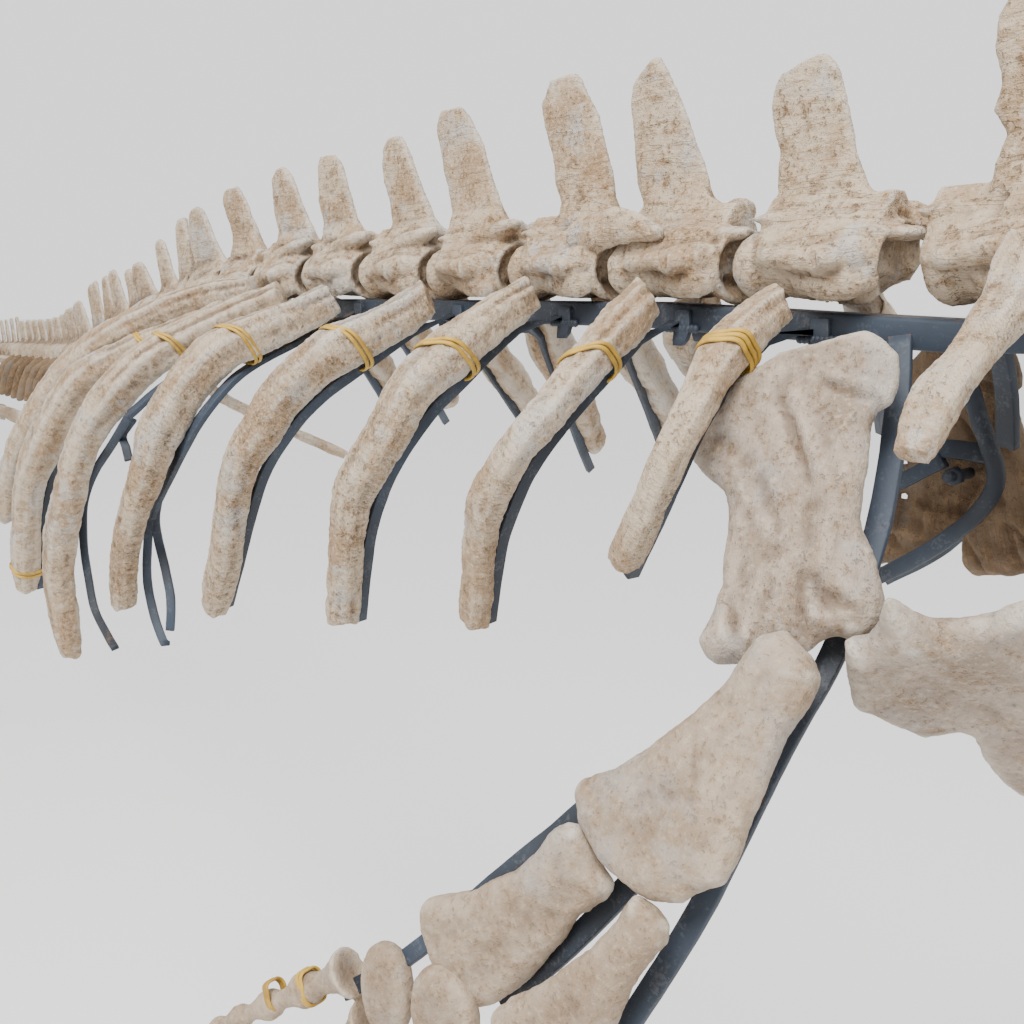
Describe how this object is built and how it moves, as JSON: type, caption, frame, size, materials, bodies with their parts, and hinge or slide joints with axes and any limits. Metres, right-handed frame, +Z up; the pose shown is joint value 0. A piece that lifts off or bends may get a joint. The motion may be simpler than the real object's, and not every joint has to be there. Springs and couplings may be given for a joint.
{
  "type": "mounted mosasaur skeleton",
  "caption": "Life-size mounted skeleton of a swimming mosasaur with paddles and a long tail, carried on a welded flat-bar steel stand.",
  "frame": {"origin": "the centre of the underside of the front post's disc, on the floor", "axes": "+X towards the head end, +Y to the animal's left, +Z up"},
  "size_m": [6.4092, 0.9851, 1.6595],
  "materials": {
    "bone": "dull tan fossil bone with pale grey patches and brown hollows",
    "painted_steel": "dark blue-grey paint, worn and rusty at the welds"
  },
  "bodies": {
    "root": {"skull": "bone", "jaw_left": "bone", "jaw_right": "bone", "neck_vertebrae": "bone", "chest_vertebrae": "bone", "loin_vertebrae": "bone", "tail_base": "bone", "tail_middle": "bone", "tail_end": "bone", "rib_right_0": "bone", "rib_right_1": "bone", "rib_right_2": "bone", "rib_right_3": "bone", "rib_right_4": "bone", "rib_right_5": "bone", "rib_right_6": "bone", "rib_right_7": "bone", "rib_right_8": "bone", "rib_left_0": "bone", "rib_left_1": "bone", "rib_left_2": "bone", "rib_left_3": "bone", "rib_left_4": "bone", "rib_left_5": "bone", "rib_left_6": "bone", "rib_left_7": "bone", "rib_left_8": "bone", "scapula_right": "bone", "coracoid_right": "bone", "humerus_right": "bone", "radius_right": "bone", "ulna_right": "bone", "hand_right": "bone", "pelvis_right": "bone", "femur_right": "bone", "tibia_right": "bone", "fibula_right": "bone", "foot_right": "bone", "scapula_left": "bone", "coracoid_left": "bone", "humerus_left": "bone", "radius_left": "bone", "ulna_left": "bone", "hand_left": "bone", "pelvis_left": "bone", "femur_left": "bone", "tibia_left": "bone", "fibula_left": "bone", "foot_left": "bone", "stand_beam": "painted_steel", "stand_post_front": "painted_steel", "stand_post_middle": "painted_steel", "stand_post_rear": "painted_steel", "stand_paddle_bar_right": "painted_steel", "stand_paddle_bar_left": "painted_steel", "stand_girdle_rod_left": "painted_steel"}
  },
  "joints": []
}
